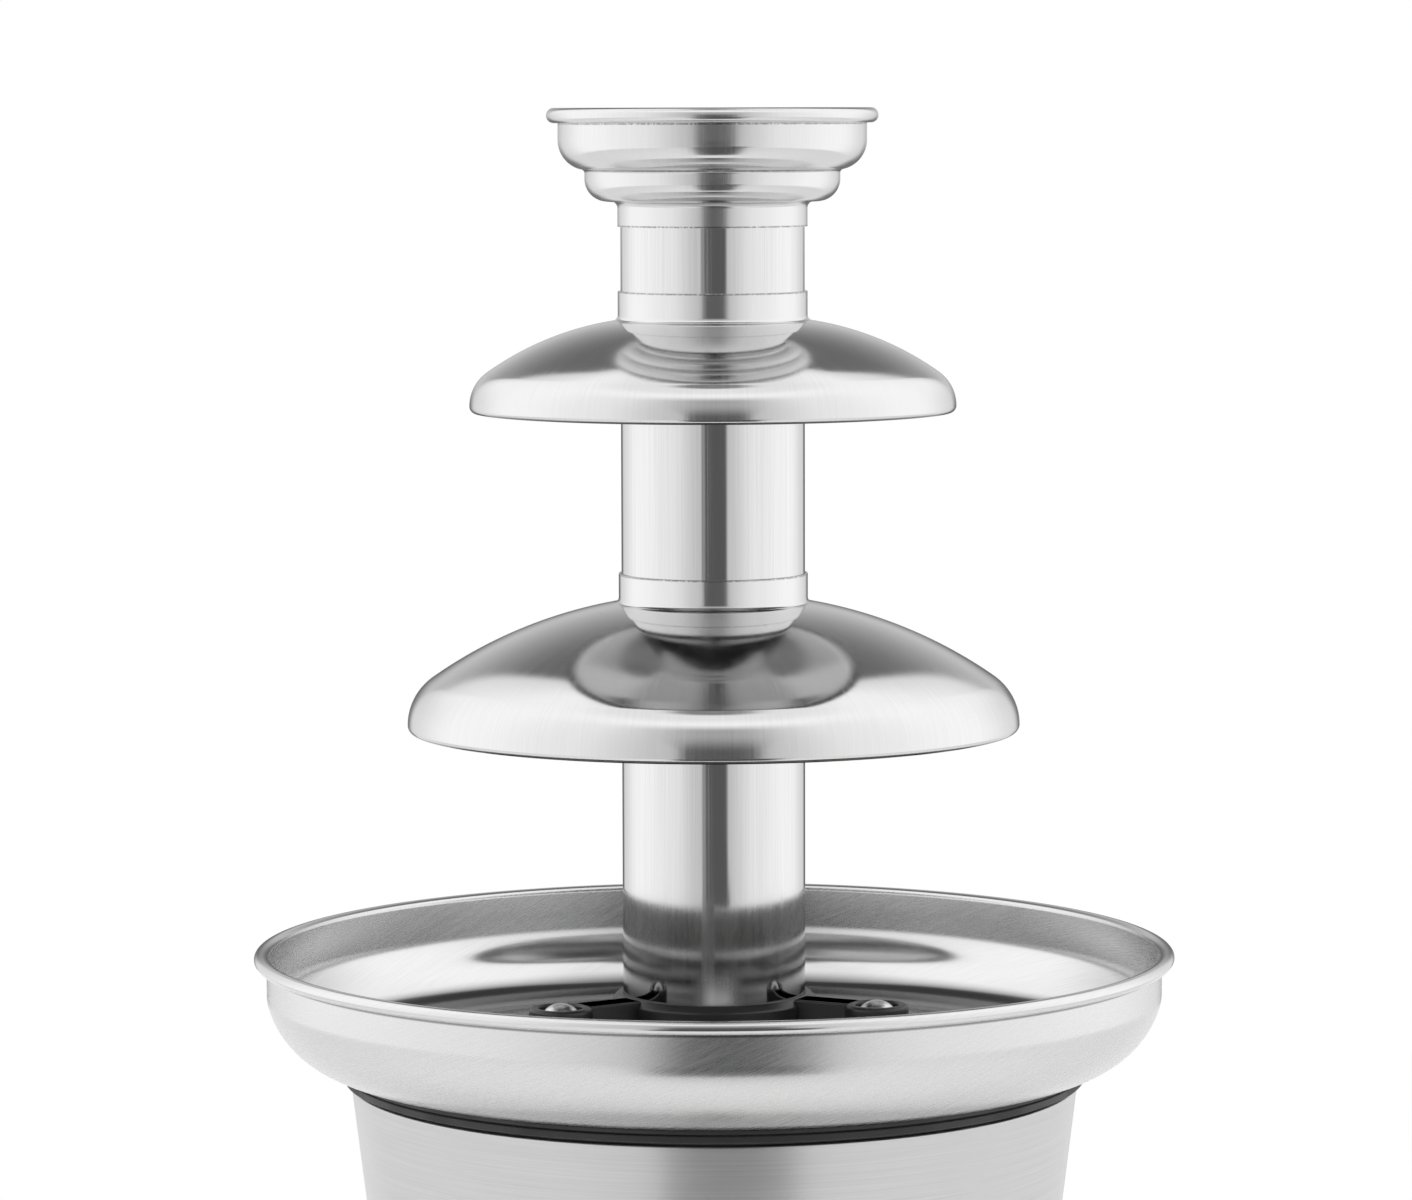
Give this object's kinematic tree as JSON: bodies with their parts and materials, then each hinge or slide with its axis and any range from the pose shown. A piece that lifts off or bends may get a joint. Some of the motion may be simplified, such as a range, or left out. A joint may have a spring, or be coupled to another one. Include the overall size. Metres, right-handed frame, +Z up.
{
  "type": "chocolate fountain",
  "caption": "Chocolate fountain: heated bowl on a tapered motor base, with a tube tower whose auger lifts chocolate to a crown and domed tiers.",
  "frame": {"origin": "on the table under the axis of the tower, at the middle of the feet", "axes": "+Z up along the tower, -Y towards the front with the knob, +X to the right seen from the front"},
  "size_m": [0.2266, 0.2266, 0.3544],
  "materials": {
    "spun_steel": "polished spun stainless steel",
    "tube_steel": "polished welded stainless tube",
    "bowl_steel": "brushed drawn stainless steel",
    "housing_steel": "fine round-brushed stainless steel",
    "post_steel": "polished stainless steel",
    "bright_steel": "ground steel",
    "plated_steel": "zinc-plated steel",
    "laminations": "stacked steel laminations",
    "black_plastic": "satin black moulded plastic",
    "black_rubber": "matt black silicone",
    "white_plastic": "white moulded plastic",
    "bronze": "sintered bronze",
    "cast_alloy": "die-cast alloy",
    "copper_wire": "enamelled copper wire",
    "red_lens": "clear red plastic"
  },
  "bodies": {
    "base": {"basin": "bowl_steel", "base_housing": "housing_steel", "tower_posts": "post_steel", "idler_axle": "bright_steel", "post_spacers": "plated_steel", "post_nuts": "plated_steel", "bush_nut": "plated_steel", "heater_ring": "plated_steel", "heater_clamp": "plated_steel", "thermostat_screws": "plated_steel", "clamp_pan": "plated_steel", "base_screws": "plated_steel", "gearbox_screws": "plated_steel", "standoff_screws": "plated_steel", "motor_bracket": "plated_steel", "motor_screws": "plated_steel", "switch_nut": "plated_steel", "lamp_nut": "plated_steel", "stator_core": "laminations", "base_plate": "black_plastic", "switch_body": "black_plastic", "cord_gland": "black_plastic", "gland_nut": "black_plastic", "thermostat": "black_plastic", "basin_gasket": "black_rubber", "shaft_seal": "black_rubber", "feet": "black_rubber", "coil_bobbin": "white_plastic", "terminal_block": "white_plastic", "thermal_fuse": "white_plastic", "shaft_bush": "bronze", "output_bush": "bronze", "motor_bushes": "bronze", "gearbox_standoffs": "bronze", "heater_plate": "cast_alloy", "gearbox_case": "cast_alloy", "gearbox_lid": "cast_alloy", "coil_winding": "copper_wire", "pilot_lamp": "red_lens"},
    "drive": {"drive_shaft": "bright_steel", "output_gear": "white_plastic"},
    "idler": {"idler_gear": "white_plastic"},
    "rotor": {"rotor_shaft": "bright_steel", "rotor_core": "laminations", "motor_pinion": "bronze", "cooling_fan": "black_plastic"},
    "auger": {"auger_shaft": "white_plastic", "auger_screw": "white_plastic"},
    "tower": {"tower_tube": "tube_steel", "tower_hub": "black_plastic"},
    "lower_tier": {"lower_tier": "spun_steel"},
    "upper_tier": {"upper_tier": "spun_steel"},
    "crown": {"crown": "spun_steel"},
    "knob": {"control_knob": "black_plastic", "switch_spindle": "bright_steel"}
  },
  "joints": [
    {"name": "drive_spin", "type": "hinge", "parent": "base", "child": "drive", "pos_m": [0, 0, 0.1], "axis": [0, 0, 1], "continuous": true},
    {"name": "idler_spin", "type": "hinge", "parent": "base", "child": "idler", "pos_m": [-0.0256, 0, 0.08], "axis": [0, 0, 1], "continuous": true},
    {"name": "rotor_spin", "type": "hinge", "parent": "base", "child": "rotor", "pos_m": [-0.0256, 0.0248, 0.06], "axis": [0, 0, 1], "continuous": true},
    {"name": "auger_lift", "type": "slide", "parent": "drive", "child": "auger", "axis": [0, 0, 1], "range_m": [0, 0.235]},
    {"name": "tower_lift", "type": "slide", "parent": "base", "child": "tower", "axis": [0, 0, 1], "range_m": [0, 0.205]},
    {"name": "lower_tier_lift", "type": "slide", "parent": "tower", "child": "lower_tier", "axis": [0, 0, 1], "range_m": [0, 0.11]},
    {"name": "upper_tier_lift", "type": "slide", "parent": "lower_tier", "child": "upper_tier", "axis": [0, 0, 1], "range_m": [0, 0.045]},
    {"name": "crown_lift", "type": "slide", "parent": "upper_tier", "child": "crown", "axis": [0, 0, 1], "range_m": [0, 0.03]},
    {"name": "knob_turn", "type": "hinge", "parent": "base", "child": "knob", "pos_m": [0, -0.08121, 0.046], "axis": [0, -0.9927, -0.1207], "range_deg": [-120, 0]}
  ],
  "couplings": [
    {"joint": "idler_spin", "follows": "drive_spin", "ratio": -4.3333},
    {"joint": "rotor_spin", "follows": "drive_spin", "ratio": 18.056}
  ]
}
